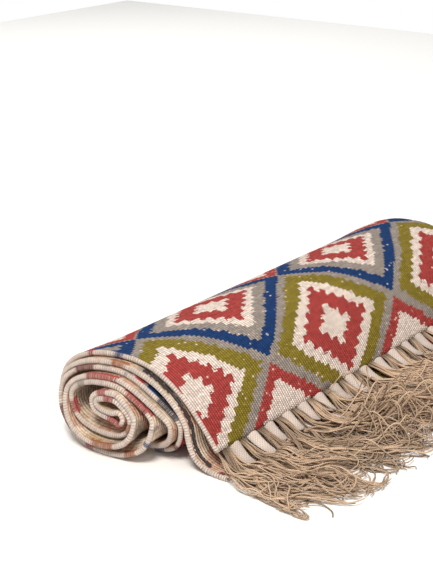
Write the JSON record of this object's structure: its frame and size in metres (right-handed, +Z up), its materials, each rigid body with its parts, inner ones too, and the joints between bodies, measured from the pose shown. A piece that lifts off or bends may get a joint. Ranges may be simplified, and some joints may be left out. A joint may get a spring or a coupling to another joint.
{
  "type": "rolled flat-woven cotton rug",
  "caption": "Flat-woven cotton rug folded in half and rolled up, with its loose ends and their fringe lying in front of the roll.",
  "frame": {"origin": "under the middle of the outer box, on the surface that the roll lies on", "axes": "+X along the roll, away from the end with the spiral that the picture shows; -Y towards the fringe; +Z up"},
  "size_m": [0.5444, 0.2878, 0.0819],
  "materials": {
    "woven_cotton": "matte ribbed cotton weave",
    "warp_cotton": "matte twisted cotton yarn"
  },
  "bodies": {
    "root": {"woven_cloth": "woven_cotton", "falling_fringe": "warp_cotton", "floor_fringe": "warp_cotton"}
  },
  "joints": []
}
